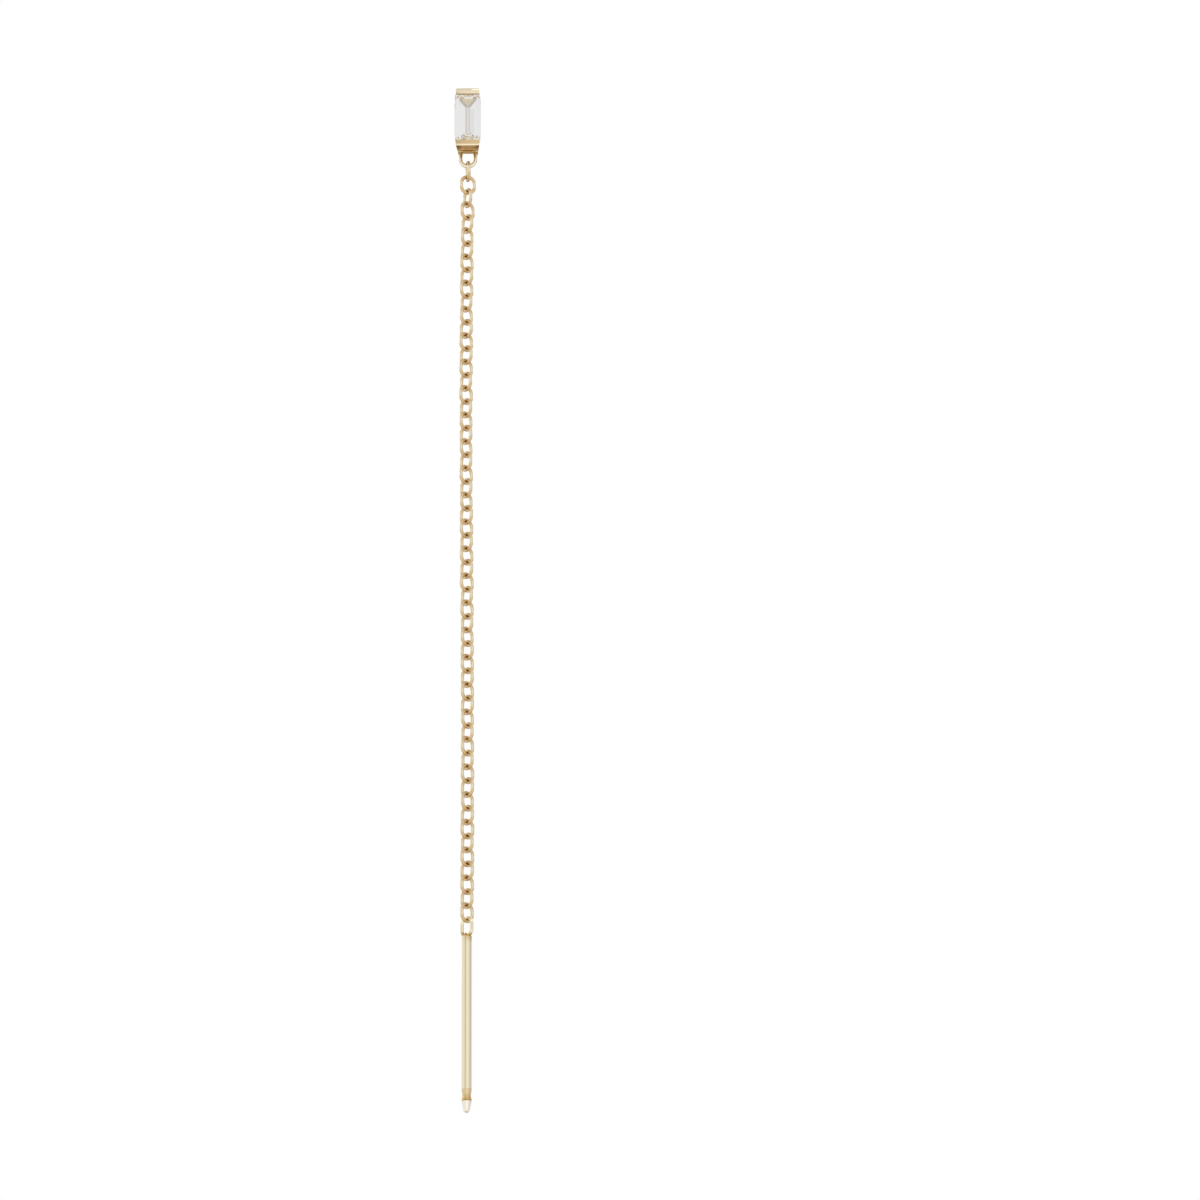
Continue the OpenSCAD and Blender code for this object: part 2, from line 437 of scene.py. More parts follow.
@dataclass(frozen=True)
class GoldFinish:
    """14 carat yellow gold, whose tone and fine marks follow two attributes of the mesh.

    "tone" runs from pale through polished and tan to brown gold, and the browner end is also rougher; the
    pieces use it to paint highlight and shade on the metal. "marked" says how far the fine marks of the last
    step show, which stretch the reflections along the earring.
    """

    name: str
    pale: str
    polished: str
    tan: str
    brown: str
    roughness: float = 0.10
    dull_roughness: float = 0.32
    marked_roughness: float = 0.12
    mark_mm: float = 0.07
    mark_length_mm: float = 0.9
    mark_depth_mm: float = 0.003
    wave_mm: float = 0.8
    wave_depth_mm: float = 0.005

    def tint(self, tree: Tree, tone: Socket) -> Socket:
        """Turn the tone into a colour, along a ramp through the finish's four colours.

        Args:
            tree: The material's nodes.
            tone: The tone, from 0 to 1.

        Returns:
            The colour.
        """
        node = add_node(tree, "ValToRGB", links={"Fac": tone})
        stops = node.color_ramp.elements
        for place in (Tone.POLISHED, Tone.TAN):
            stops.new(place.value)
        for stop, colour in zip(stops, (self.pale, self.polished, self.tan, self.brown)):
            stop.color = linear(colour)
        return node.outputs["Color"]

    def relief(self, tree: Tree, marked: Socket) -> Socket:
        """Bend the surface by soft waves left by polishing and, where marked, by fine upright lines.

        Args:
            tree: The material's nodes.
            marked: How far the lines show, from 0 to 1.

        Returns:
            The bent normal.
        """
        place = add_node(tree, "TexCoord").outputs["Object"]
        broad, fine = {"Scale": 1 / (self.wave_mm * MM), "Detail": 1.0}, {"Scale": 1.0, "Detail": 3.0}
        waves = add_node(tree, "TexNoise", broad, {"Vector": place}).outputs["Fac"]
        across, along = 1 / (self.mark_mm * MM), 1 / (self.mark_length_mm * MM)
        drawn_out = add_node(tree, "Mapping", {"Scale": (across, across, along)}, {"Vector": place})
        lines = add_node(tree, "TexNoise", fine, {"Vector": drawn_out.outputs["Vector"]}).outputs["Fac"]
        shown = add_node(tree, "Math", {"operation": "MULTIPLY"}, {0: lines, 1: marked}).outputs["Value"]
        low, high = ({"Distance": depth * MM} for depth in (self.wave_depth_mm, self.mark_depth_mm))
        waved = add_node(tree, "Bump", low, {"Height": waves}).outputs["Normal"]
        return add_node(tree, "Bump", high, {"Height": shown, "Normal": waved}).outputs["Normal"]

    def material(self) -> Material:
        """Build the node material.

        Returns:
            The material.
        """
        material, tree, surface = new_material(self.name)
        # The tone paints highlight and shade into the base colour, and also sets the roughness
        tone = add_node(tree, "Attribute", {"attribute_name": "tone"}).outputs["Fac"]
        marked = add_node(tree, "Attribute", {"attribute_name": "marked"}).outputs["Fac"]
        span = {"From Min": Tone.POLISHED.value, "To Min": self.roughness, "To Max": self.dull_roughness}
        smooth = add_node(tree, "MapRange", span, {"Value": tone}).outputs["Result"]
        add_marks = {"operation": "MULTIPLY_ADD", 1: self.marked_roughness}
        links = {
            "Base Color": self.tint(tree, tone),
            "Roughness": add_node(tree, "Math", add_marks, {0: marked, 2: smooth}).outputs["Value"],
            "Normal": self.relief(tree, marked),
        }
        shader = add_node(tree, "BsdfPrincipled", {"Metallic": 1.0}, links)
        tree.links.new(shader.outputs["BSDF"], surface)
        return material


@dataclass(frozen=True)
class CastGold(GoldFinish):
    """Cast, wheel polished, and brushed on the two front bars.

    Polishing leaves soft, slightly wavy reflections, and brushing short upright streaks. Its tan and brown
    are painted shade on the lower front bar, on the lip over the stone, in the recess under it and where the
    bail meets the wall, and its pale is a painted highlight on the bail's legs.
    """

    name: str = "cast_yellow_gold_polished"
    pale: str = "#f9eed6"
    polished: str = "#f7e8c8"
    tan: str = "#d6b67c"
    brown: str = "#865a2c"


@dataclass(frozen=True)
class DrawnWireGold(GoldFinish):
    """Wire, drawn, formed into links, soldered and tumbled.

    The links' ends, where they pass through each other, are painted tan and brown as shade, and are rougher.
    """

    name: str = "drawn_gold_wire_tumbled"
    pale: str = "#fbf3e2"
    polished: str = "#f6e9cd"
    tan: str = "#e4c99c"
    brown: str = "#79522e"
    roughness: float = 0.12
    mark_mm: float = 0.09
    mark_length_mm: float = 0.3
    mark_depth_mm: float = 0.002
    wave_depth_mm: float = 0.0


@dataclass(frozen=True)
class BurnishedGold(GoldFinish):
    """Rod, drawn and burnished along its length.

    Burnishing leaves fine lines along the rod, which draw the reflections out into long upright streaks. The
    groove is painted tan and brown as shade, the joint of ring and post is a tan-brown of duller solder and
    painted shade, and the cone at the tip is pale, a painted highlight.
    """

    name: str = "burnished_gold_rod"
    pale: str = "#fbf6e8"
    polished: str = "#f8edd0"
    tan: str = "#d9b97c"
    brown: str = "#98792c"
    dull_roughness: float = 0.22
    marked_roughness: float = 0.04
    mark_mm: float = 0.05
    mark_length_mm: float = 6.0
    mark_depth_mm: float = 0.001
    wave_depth_mm: float = 0.0


@dataclass(frozen=True)
class CutStone:
    """Colourless step-cut stone with the index of sapphire, lapped flat on each facet.

    Lapping leaves faint parallel lines, which only break up the sharpest reflections. The index throws light
    back from most of the pavilion, and lets it through at the keel and at the steep end facets.
    """

    name: str = "colourless_cut_stone"
    ior: float = 1.77
    lap_line_mm: float = 0.03
    lap_length_mm: float = 1.0
    lap_roughness: float = 0.02

    def material(self) -> Material:
        """Build the node material.

        Returns:
            The material.
        """
        material, tree, surface = new_material(self.name)
        place = add_node(tree, "TexCoord").outputs["Object"]
        across, along = 1 / (self.lap_line_mm * MM), 1 / (self.lap_length_mm * MM)
        drawn_out = add_node(tree, "Mapping", {"Scale": (across, along, along)}, {"Vector": place})
        fine = {"Scale": 1.0, "Detail": 1.0}
        laps = add_node(tree, "TexNoise", fine, {"Vector": drawn_out.outputs["Vector"]}).outputs["Fac"]
        polish = add_node(tree, "MapRange", {"To Max": self.lap_roughness}, {"Value": laps}).outputs["Result"]
        clear = {"Base Color": linear("#ffffff"), "IOR": self.ior, "Transmission Weight": 1.0}
        shader = add_node(tree, "BsdfPrincipled", clear, {"Roughness": polish})
        tree.links.new(shader.outputs["BSDF"], surface)
        return material


# The pieces


@dataclass
class Hanging:
    """The line in which the earring hangs, and the links' places along it, in millimetres."""

    depth: float = -0.2
    wire: float = 0.27
    link_w: float = 1.31
    links: int = 56
    pitch: float = 1.056
    play: float = 0.10
    bail_floor: float = -3.26
    first_hole: float = 1.15
    turn_deg: float = 45.0
    turn_links: float = 4.5

    @property
    def bend_r(self) -> float:
        """Radius of a link's bends, to the middle of its wire."""
        return (self.link_w - self.wire) / 2

    def centres(self, numbers: Array) -> Array:
        """Heights of the links, counted from 1: the first is longer, and each later one adds the pitch."""
        later = self.bail_floor - self.first_hole - self.pitch / 2 - (numbers - 2) * self.pitch
        return np.where(numbers < 2, self.bail_floor - self.first_hole / 2, later)

    def angles(self, numbers: Array) -> Array:
        """Angles of the links about Z: the line turns in its first links, and odd ones are a quarter back."""
        turn = self.turn_deg * np.minimum(1, numbers / self.turn_links)
        return np.radians(turn - np.where(numbers % 2 == 1, 90, 0))


@dataclass
class Setting:
    """The two-bar setting with its end walls, base rails and bail."""

    hanging: Hanging
    finish: CastGold = field(default_factory=CastGold)
    half_h: float = 2.325
    depth: float = 1.95
    bar_h: float = 0.48
    recess: float = 0.17
    margin: float = 0.13
    margin_tilt_deg: float = 15.0
    lip_edge: float = 0.06
    lip_steps: int = 5
    edge: float = 0.02
    edge_steps: int = 2
    flat_deg: float = 1.0
    hard_deg: float = 30.0
    bail_wire: float = 0.32
    bail_r: float = 0.735
    bail_middle: float = -2.845
    bail_steps: int = 90
    bail_sides: int = 28
    leg_sunk: float = 0.12
    solder: float = 0.06
    solder_reach: float = 0.07
    # Painted shade on the bail, brown where it meets the wall, fades out down its legs over this length
    wall_shade_fade: float = 0.45
    # Painted shade: the lower front bar's darker tone
    low_bar_shade_tone: float = 0.50
    # Painted shade: the underside's tone in the recess under the stone
    recess_shade_tone: float = 0.52
    # Where the underside's painted shade turns brown toward the front corners and polished toward the back
    # ones
    corner_in: float = 0.30
    corner_fade: float = 0.28
    front_in: float = 0.85
    front_fade: float = 0.60
    under_in: float = 0.10
    # A face counts as front, inner or lip if its normal goes that way by more than this
    front_facing: float = 0.97
    inner_facing: float = 0.90
    lip_facing: float = 0.20

    def frame_mesh(self) -> Mesh:
        """Copy the node without its bail, join its loose triangles to flat faces, and round every edge.

        Returns:
            A closed mesh of the bars, walls and rails.
        """
        shell = merged_copy("setting")
        below = [v for v in shell.verts if v.co.z < -(self.half_h + NEAR_MM) * MM]
        bmesh.ops.delete(shell, geom=below, context="VERTS")
        bmesh.ops.holes_fill(shell, edges=[e for e in shell.edges if e.is_boundary])
        bmesh.ops.recalc_face_normals(shell, faces=shell.faces)
        join_flat(shell, self.flat_deg)
        self.slope_bars(shell)
        self.split_underside(shell)
        lips = [e for e in shell.edges if all(self.on_lip(v) for v in e.verts)]
        cut_back(shell, lips, self.lip_edge, self.lip_steps, clamp_overlap=True)
        hard = [e for e in shell.edges if e.is_manifold and e.calc_face_angle() > math.radians(self.hard_deg)]
        cut_back(shell, hard, self.edge, self.edge_steps, clamp_overlap=True)
        return finished_mesh("setting_frame", shell)

    def slope_bars(self, shell: Shell) -> None:
        """Slope the outer margin of both front faces back, as a flat facet: y grows by inward tan(tilt).

        Args:
            shell: The setting's shell.
        """
        for side in (-1, 1):
            whole = [*shell.verts, *shell.edges, *shell.faces]
            cut = (0, 0, side * (self.half_h - self.margin) * MM)
            bmesh.ops.bisect_plane(shell, geom=whole, plane_co=cut, plane_no=(0, 0, 1))
        for point in shell.verts:
            inward = self.margin * MM - (self.half_h * MM - abs(point.co.z))
            if inward > 0 and is_at(point, -self.depth):
                point.co.y += inward * math.tan(math.radians(self.margin_tilt_deg))

    def split_underside(self, shell: Shell) -> None:
        """Cut the lower wall's faces along two upright planes, between which the underside has one tone.

        Args:
            shell: The setting's shell.
        """
        floor = -(self.half_h - self.recess - PICK_MM) * MM
        for side in (-1, 1):
            low = [f for f in shell.faces if f.calc_center_median().z < floor]
            points = {v for f in low for v in f.verts}
            edges = {e for f in low for e in f.edges}
            cut = (side * self.corner_in * MM, 0, 0)
            bmesh.ops.bisect_plane(shell, geom=[*points, *edges, *low], plane_co=cut, plane_no=(1, 0, 0))

    def on_lip(self, point: Point) -> bool:
        """Tell if a point of the shell lies on a front face's inner edge, over the stone."""
        height = (self.half_h - self.bar_h) * MM
        return is_at(point, -self.depth) and abs(abs(point.co.z) - height) < NEAR_MM * MM

    def bail_mesh(self) -> Mesh:
        """Carry the bail's wire down one leg, round the half ring and up the other leg.

        The legs widen into their solder under the wall: radius + solder exp(-depth below the wall / reach).

        Returns:
            A closed mesh.
        """
        r = self.bail_r - self.bail_wire / 2
        leg = -self.half_h + self.leg_sunk - self.bail_middle
        arc = np.pi * r
        walked = np.linspace(0, 2 * leg + arc, self.bail_steps)
        angle = np.clip((walked - leg) / r, 0, np.pi)
        above = np.maximum(leg - walked, 0) + np.maximum(walked - leg - arc, 0)
        outward = np.stack([-np.cos(angle), np.zeros_like(angle), -np.sin(angle)], -1)
        middle = np.array([0.0, self.hanging.depth, self.bail_middle])
        centres = middle + r * outward + above[:, None] * np.array([0.0, 0.0, 1.0])
        under_wall = np.maximum(-self.half_h - centres[:, 2], 0)
        radius = self.bail_wire / 2 + self.solder * np.exp(-under_wall / self.solder_reach)
        return capped_rows("bail", tube_rows(centres, outward, radius, self.bail_sides))

    def mark_faces(self, mesh: Mesh) -> None:
        """Give each face corner its tone, and each face its brushing.

        The two front faces are brushed, and the lower one is painted darker as shade. The lip over the stone
        is brown, a painted shadow line. The underside is painted shade: the recess's tone in its middle,
        going to brown at its front corners and to polished gold at its back ones. The bail's legs are brown
        where they meet the wall, a painted shade, and pale further down, a painted highlight.

        Args:
            mesh: The soldered setting.
        """
        _, y, z = read_rows(mesh.polygons, "center", 3).T / MM
        _, facing_y, facing_z = read_rows(mesh.polygons, "normal", 3).T
        front = (facing_y < -self.front_facing) & (y < -self.depth + PICK_MM)
        lip = (y < -self.depth + self.lip_edge + PICK_MM) & (facing_z < -self.lip_facing) & (z > 0)
        bail = z < -self.half_h - PICK_MM / 2
        under = (z < -self.half_h + self.recess + PICK_MM) & ~bail & (y > -self.depth + self.under_in)
        inner = facing_z * np.sign(z) < -self.inner_facing
        pale, polished, brown = Tone.PALE.value, Tone.POLISHED.value, Tone.BROWN.value
        tone = np.where(inner, pale, polished)
        # Painted shade: the lower front bar is darker
        tone = np.where(front & (z < 0), self.low_bar_shade_tone, tone)
        # Painted shadow line: the top bar's lip over the stone is brown
        tone = np.where(lip, brown, tone)
        corners = read_rows(mesh.polygons, "loop_total", 1, np.int32)
        under, bail, tone = (np.repeat(values, corners) for values in (under, bail, tone))
        x, y, z = points_mm(mesh)[read_rows(mesh.loops, "vertex_index", 1, np.int32)].T
        # Painted shade over the underside: the recess's tone in the middle, brown at the front corners,
        # polished at the back ones
        aside = np.clip((np.abs(x) - self.corner_in) / self.corner_fade, 0, 1)
        forward = np.clip((-y - self.front_in) / self.front_fade, 0, 1)
        corner_tone = polished + (brown - polished) * forward
        tone = np.where(under, self.recess_shade_tone + aside * (corner_tone - self.recess_shade_tone), tone)
        # Painted shade on the bail, brown where it meets the wall, going to pale down the legs, a painted
        # highlight
        soldered = np.clip(1 + (z + self.half_h) / self.wall_shade_fade, 0, 1)
        tone = np.where(bail, pale + (brown - pale) * soldered, tone)
        set_attribute(mesh, "tone", "CORNER", tone)
        set_attribute(mesh, "marked", "FACE", front.astype(float))

    def build(self) -> Object:
        """Solder the bail to the frame and dress the whole.

        Returns:
            The piece.
        """
        mesh = fused("setting_soldered", [self.frame_mesh(), self.bail_mesh()])
        self.mark_faces(mesh)
        return place_piece(mesh, self.finish.material(), Body.HANGER, "setting")


@dataclass
class Baguette:
    """The step-cut stone as packed, with the keel and its four hips lapped to narrow flats."""

    finish: CutStone = field(default_factory=CutStone)
    step_y: float = -1.10
    keel_y: float = -0.63
    keel_flat: float = 0.38
    keel_flats: int = 3
    hip_flat: float = 0.20
    hip_deg: float = 15.0
    flat_deg: float = 0.5

    def stone_mesh(self) -> Mesh:
        """Copy the node, join its loose triangles to flat facets, and lap the keel and its hips.

        A hip is a clear edge that climbs from the pavilion's step to the keel's end.

        Returns:
            A closed mesh of flat facets.
        """
        shell = merged_copy("baguette")
        join_flat(shell, self.flat_deg)
        keel = [e for e in shell.edges if all(is_at(v, self.keel_y) for v in e.verts)]
        cut_back(shell, keel, self.keel_flat, self.keel_flats, offset_type="WIDTH")
        half_way = (self.step_y + self.keel_y) / 2 * MM
        hips = [
            e
            for e in shell.edges
            if any(is_at(v, self.step_y) for v in e.verts)
            and any(v.co.y > half_way for v in e.verts)
            and e.calc_face_angle() > math.radians(self.hip_deg)
        ]
        cut_back(shell, hips, self.hip_flat, 1, offset_type="WIDTH")
        return finished_mesh("baguette_cut", shell)

    def build(self) -> Object:
        """Cut the stone's flats and dress it."""
        mesh = self.stone_mesh()
        return place_piece(mesh, self.finish.material(), Body.HANGER, "baguette")


@dataclass
class Chain:
    """The cable chain: oval wire links that pass through each other and touch."""

    hanging: Hanging
    finish: DrawnWireGold = field(default_factory=DrawnWireGold)
    steps: int = 52
    sides: int = 14
    overlap: float = 0.02
    sway: float = 0.07
    lean: float = 0.08
    turn_play_deg: float = 4.0
    tilt_play_deg: float = 1.5
    still_links: int = 3
    # Painted shade where links cross: tan about a crossing's height, and brown close to where links touch
    tan_reach: float = 0.42
    tan_fade: float = 0.24
    touch_shade_reach: float = 0.20
    touch_shade_fade: float = 0.12
    bail_touch_shade_reach: float = 0.32
    seed: int = 11

    def link_rows(self) -> Array:
        """Work out all the links' surfaces at once.

        Each link is a stadium of wire, turned to its angle and moved to its height. Seeded draws, which fade
        to nothing at the chain's two ends, tilt and turn it a little, and the whole line sways.

        Returns:
            Points (link, step, side, 3) in millimetres.
        """
        h = self.hanging
        numbers = np.arange(1, h.links + 1)
        # The longer first link takes the ordinary one's outward directions, which are a few degrees off
        holes = (h.pitch - self.overlap, h.first_hole - self.overlap)
        (ordinary, outward), (longer, _) = (
            stadium(h.bend_r, (hole + h.wire) / 2 - h.bend_r, self.steps) for hole in holes
        )
        rows = np.repeat(tube_rows(ordinary, outward, h.wire / 2, self.sides)[None], h.links, 0)
        rows[0] = tube_rows(longer, outward, h.wire / 2, self.sides)
        draws = np.random.default_rng(self.seed).uniform(-1, 1, (2, h.links))
        fade = np.minimum(1, np.minimum(numbers - 1, h.links - numbers) / self.still_links)
        tilt = np.radians(self.tilt_play_deg) * draws[0] * fade
        angles = h.angles(numbers) + np.radians(self.turn_play_deg) * draws[1] * fade
        rows = turned(rows, tilt[:, None, None], TILT)
        rows = turned(rows, angles[:, None, None], SPIN)
        heights = h.centres(numbers)
        middles = np.stack([self.sway_at(heights), np.full(h.links, h.depth), heights], -1)
        return rows + middles[:, None, None, :]

    def sway_at(self, height: Array) -> Array:
        """Work out how far to the side the line hangs: a whole and a half sine wave down the chain.

        Args:
            height: Heights in millimetres.

        Returns:
            The offsets.
        """
        top, low = self.hanging.centres(np.array([1, self.hanging.links]))
        turn = np.pi * (top - height) / (top - low)
        return -self.sway * np.sin(2 * turn) - self.lean * np.sin(turn)

    def half_mesh(self, name: str, rows: Array) -> Mesh:
        """Make one mesh of links that don't touch each other.

        Args:
            name: The mesh's name.
            rows: Points (link, step, side, 3) in millimetres.

        Returns:
            The mesh.
        """
        shift = (np.arange(len(rows)) * self.steps * self.sides)[:, None, None]
        faces = quads(self.steps, self.sides, wrap_rows=True) + shift
        return make_mesh(name, rows.reshape(-1, 3), faces.reshape(-1, 4))

    def mark_tones(self, mesh: Mesh) -> None:
        """Give each point its tone, painted shade: tan near the height of a crossing, and brown where two
        links touch.

        Args:
            mesh: The fused chain.
        """
        h = self.hanging
        x, y, z = points_mm(mesh).T
        crossing = h.bail_floor - h.first_hole
        on_first = z > crossing + h.pitch / 2
        up_line = (z - crossing + h.pitch / 2) % h.pitch - h.pitch / 2
        up_line = np.where(on_first, z - h.bail_floor, up_line)
        away = np.sqrt((x - self.sway_at(z)) ** 2 + (y - h.depth) ** 2 + up_line**2)
        # Painted shade: tan about each crossing's height, brown close to where two links touch and where the
        # first rests on the bail
        tan = np.clip((self.tan_reach - np.abs(up_line)) / self.tan_fade, 0, 1)
        reach = np.where(on_first, self.bail_touch_shade_reach, self.touch_shade_reach)
        brown = np.clip((reach - away) / self.touch_shade_fade, 0, 1)
        polished, tanned, browned = Tone.POLISHED.value, Tone.TAN.value, Tone.BROWN.value
        tone = polished + (tanned - polished) * tan + (browned - tanned) * brown
        set_attribute(mesh, "tone", "POINT", tone)
        set_attribute(mesh, "marked", "POINT", np.ones(len(z)))

    def build(self) -> Object:
        """Fuse the odd links with the even ones and dress them.

        Returns:
            The piece.
        """
        rows = self.link_rows()
        halves = [self.half_mesh("odd", rows[0::2]), self.half_mesh("even", rows[1::2])]
        mesh = fused("cable_chain", halves)
        self.mark_tones(mesh)
        return place_piece(mesh, self.finish.material(), Body.HANGER, "chain")


@dataclass
class ThreaderPost:
    """The straight ear post with its soldered ring, friction groove and rounded tip."""

    hanging: Hanging
    finish: BurnishedGold = field(default_factory=BurnishedGold)
    d: float = 0.76
    edge: float = 0.08
    length: float = 11.45
    groove_len: float = 0.90
    groove_cut: float = 0.06
    groove_lip: float = 0.02
    tip_len: float = 0.85
    tip_d: float = 0.50
    ring_sink: float = 0.15
    overlap: float = 0.01
    solder_h: float = 0.26
    solder_r: float = 0.27
    solder_from: float = 0.04
    solder_shift: float = 0.10
    # A slanted tan-brown band across the joint of ring and post: the solder's duller colour and painted shade
    solder_lift: float = 0.08
    solder_slant: float = 0.22
    solder_band: float = 0.26
    solder_and_shade_tone: float = 0.78
    # Painted shade in the groove, browner toward its foot
    groove_shade_tone: float = 0.44
    groove_foot_shade_tone: float = 0.80
    foot_power: int = 3
    sides: int = 72
    solder_steps: int = 10
    edge_steps: int = 9
    shank_steps: int = 24
    groove_steps: int = 25
    cone_steps: int = 8
    end_steps: int = 12
    ring_steps: int = 64
    ring_sides: int = 20

    @property
    def ring_middle(self) -> float:
        """Height of the ring's centre, as the next link of the chain."""
        return float(self.hanging.centres(np.array(self.hanging.links + 1)))

    @property
    def top(self) -> float:
        """Height of the post's flat top."""
        h = self.hanging
        return self.ring_middle - (h.pitch + h.play) / 2 - h.wire + self.ring_sink

    def profile(self) -> Array:
        """Walk down the post's side, as radius and height.

        A solder mound, half a cosine high, leads to a shoulder rounded by a quarter circle. The shank runs
        straight to a groove waisted by one cosine wave, then a cone to a round end, a quarter circle.

        Returns:
            Points (step, 2).
        """
        r, end_r = self.d / 2, self.tip_d / 2
        groove_z = self.top - self.length
        tip_z = groove_z - self.groove_len
        round_z = tip_z - self.tip_len + end_r
        out = np.linspace(self.solder_from, 1, self.solder_steps)
        mound = (self.solder_r * out, self.top + self.solder_h / 2 * (1 + np.cos(np.pi * out)))
        a = np.linspace(0, np.pi / 2, self.edge_steps)
        shoulder = (r - self.edge * (1 - np.sin(a)), self.top - self.edge * (1 - np.cos(a)))
        shank_z = np.linspace(self.top - self.edge, groove_z + self.groove_lip, self.shank_steps)[1:]
        g = np.linspace(0, 1, self.groove_steps)
        waist = r - self.groove_cut / 2 * (1 - np.cos(2 * np.pi * g))
        c = np.linspace(0, 1, self.cone_steps)[1:-1]
        e = np.linspace(0, np.pi / 2, self.end_steps)[:-1]
        stretches = (
            mound,
            shoulder,
            (np.full_like(shank_z, r), shank_z),
            (waist, groove_z - self.groove_len * g),
            (r + (end_r - r) * c, tip_z + (round_z - tip_z) * c),
            (end_r * np.cos(e), round_z - end_r * np.sin(e)),
        )
        return np.concatenate([np.stack(stretch, -1) for stretch in stretches])

    def rod_mesh(self) -> Mesh:
        """Turn the profile about the post's axis: x = r cos a, y = r sin a, with the solder set to one side.

        Returns:
            A closed mesh.
        """
        r, z = self.profile().T
        a = np.arange(self.sides) * 2 * np.pi / self.sides
        aside = -self.solder_shift * np.clip((z - self.top) / self.solder_h, 0, 1)
        high = np.repeat(z[:, None], self.sides, 1)
        x = r[:, None] * np.cos(a) + aside[:, None]
        y = r[:, None] * np.sin(a) + self.hanging.depth
        return capped_rows("post_rod", np.stack([x, y, high], -1))

    def ring_mesh(self) -> Mesh:
        """Make the ring, whose top touches the last link and whose foot is sunk into the solder.

        Returns:
            A closed mesh.
        """
        h = self.hanging
        high = self.ring_middle + h.pitch / 2 - self.overlap
        low = self.ring_middle - (h.pitch + h.play) / 2
        path = stadium(h.bend_r, (high - low + h.wire) / 2 - h.bend_r, self.ring_steps)
        rows = tube_rows(*path, h.wire / 2, self.ring_sides)
        rows = turned(rows, float(h.angles(np.array(h.links + 1))), SPIN)
        rows = rows + np.array([0.0, h.depth, (high + low) / 2])
        faces = quads(self.ring_steps, self.ring_sides, wrap_rows=True)
        return make_mesh("post_ring", rows.reshape(-1, 3), faces)

    def mark_tones(self, mesh: Mesh) -> None:
        """Give each point its tone: painted shade in the groove, brown at its foot; a tan band of solder
        colour and painted shade at the joint of ring and post; and pale on the tip's cone, a painted
        highlight.

        Args:
            mesh: The fused post.
        """
        x, _, z = points_mm(mesh).T
        down = (self.top - self.length - z) / self.groove_len
        in_groove = (down > 0) & (down < 1)
        polished = Tone.POLISHED.value
        # Painted shade in the groove, browner toward its foot
        deeper = (self.groove_foot_shade_tone - self.groove_shade_tone) * np.clip(down, 0, 1) ** self.foot_power
        groove = np.where(in_groove, self.groove_shade_tone + deeper, polished)
        # The joint of ring and post: a slanted band of the solder's duller colour and painted shade
        slanted = z - self.top - self.solder_lift + self.solder_slant * x
        solder = np.clip(1 - np.abs(slanted) / self.solder_band, 0, 1)
        tone = np.maximum(groove, polished + (self.solder_and_shade_tone - polished) * solder)
        # Painted highlight: the tip's cone is pale
        tone = np.where(down >= 1, Tone.PALE.value, tone)
        set_attribute(mesh, "tone", "POINT", tone)
        set_attribute(mesh, "marked", "POINT", np.ones(len(z)))

    def build(self) -> Object:
        """Solder the ring to the rod and dress them.

        Returns:
            The piece.
        """
        mesh = fused("ear_post", [self.rod_mesh(), self.ring_mesh()])
        self.mark_tones(mesh)
        return place_piece(mesh, self.finish.material(), Body.POST, "threader_post")


# The studio


def toward(azimuth_deg: float, elevation_deg: float) -> tuple[float, float, float]:
    """Point away from the earring, with the front at 0 degrees: (sin a cos e, -cos a cos e, sin e)."""
    a, e = math.radians(azimuth_deg), math.radians(elevation_deg)
    return (math.sin(a) * math.cos(e), -math.cos(a) * math.cos(e), math.sin(e))


@dataclass(frozen=True)
class SoftBox:
    """One rectangular soft light, given by where it stands as seen from the earring."""

    name: str
    azimuth_deg: float
    elevation_deg: float
    distance_mm: float
    width_mm: float
    height_mm: float
    radiance: float

    def build(self, aim_mm: Array) -> None:
        """Stand the light up and turn it to the earring.

        Args:
            aim_mm: The point that it faces.
        """
        away = np.array(toward(self.azimuth_deg, self.elevation_deg))
        lamp = bpy.data.lights.new(self.name, "AREA")
        lamp.shape = "RECTANGLE"
        lamp.size, lamp.size_y = self.width_mm * MM, self.height_mm * MM
        lamp.energy = self.radiance * math.pi * lamp.size * lamp.size_y
        light = stand(self.name, lamp)
        light.location = Vector((aim_mm + away * self.distance_mm) * MM)
        light.rotation_euler = Vector(away).to_track_quat("Z", "Y").to_euler()
        light.visible_camera = False
        light.visible_transmission = False


@dataclass(frozen=True)
class Patch:
    """A soft-edged patch of the white tent, as seen from the earring, that multiplies its light by a tint."""

    azimuth_deg: float
    elevation_deg: float
    inner_deg: float
    outer_deg: float
    tint: tuple[float, float, float]

    def over(self, tree: Tree, seen: Socket, light: Socket) -> Socket:
        """Lay the patch over the light.

        Args:
            tree: The world's nodes.
            seen: The direction that is looked in.
            light: The light without the patch.

        Returns:
            The light with the patch.
        """
        middle = {"operation": "DOT_PRODUCT", 1: toward(self.azimuth_deg, self.elevation_deg)}
        along = add_node(tree, "VectorMath", middle, {0: seen})
        edge = {
            "interpolation_type": "SMOOTHSTEP",
            "From Min": math.cos(math.radians(self.outer_deg)),
            "From Max": math.cos(math.radians(self.inner_deg)),
        }
        inside = add_node(tree, "MapRange", edge, {"Value": along.outputs["Value"]})
        multiply = {"data_type": "RGBA", "blend_type": "MULTIPLY", MIX_B: (*self.tint, 1.0)}
        links = {0: inside.outputs["Result"], MIX_A: light}
        return add_node(tree, "Mix", multiply, links).outputs[MIX_OUT]


